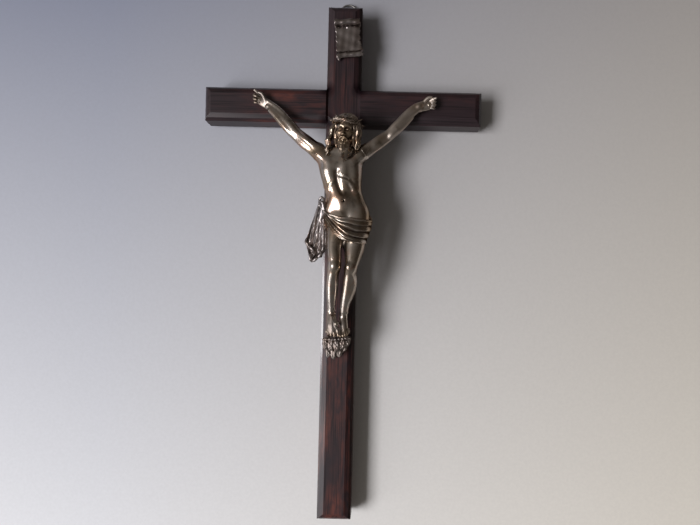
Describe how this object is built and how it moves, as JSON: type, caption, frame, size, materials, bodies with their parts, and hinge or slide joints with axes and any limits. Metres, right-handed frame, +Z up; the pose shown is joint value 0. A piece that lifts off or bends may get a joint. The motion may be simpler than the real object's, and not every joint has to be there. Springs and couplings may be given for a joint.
{
  "type": "wall crucifix",
  "caption": "Bevelled dark wooden Latin cross carrying a cast metal corpus, blank scroll plaque and foot bracket, hung on a wall by a swinging wire ring at its back.",
  "frame": {"origin": "centre of the crossing on the flat back of the crossbar, where the wall bears", "axes": "+Z up along the upright, +X to the viewer's right, +Y back into the wall, the figure faces -Y"},
  "size_m": [0.221, 0.0551, 0.4212],
  "materials": {
    "wood": "dark stain under satin lacquer",
    "corpus": "cast, silvered and worn, dark in the recesses",
    "fittings": "cast, silvered and tarnished",
    "nails": "worn",
    "hanger": "dull plated",
    "screws": "dull"
  },
  "bodies": {
    "cross": {"upright": "wood", "crossbar": "wood", "lap_screws": "screws", "corpus_body": "corpus", "right_arm": "corpus", "left_arm": "corpus", "shoulder_pins": "nails", "crown_of_thorns": "corpus", "loincloth_tail": "corpus", "hand_nails": "nails", "feet_nail": "nails", "foot_rest": "fittings", "foot_rest_pins": "nails", "title_plaque": "fittings", "plaque_pins": "nails", "hanger_strap": "hanger", "hanger_screws": "screws"},
    "ring": {"hanging_ring": "hanger"}
  },
  "joints": [
    {"name": "ring_swing", "type": "hinge", "parent": "cross", "child": "ring", "pos_m": [0.0014, 0.00187, 0.07673], "axis": [-1, 0, 0], "range_deg": [0, 180]}
  ]
}
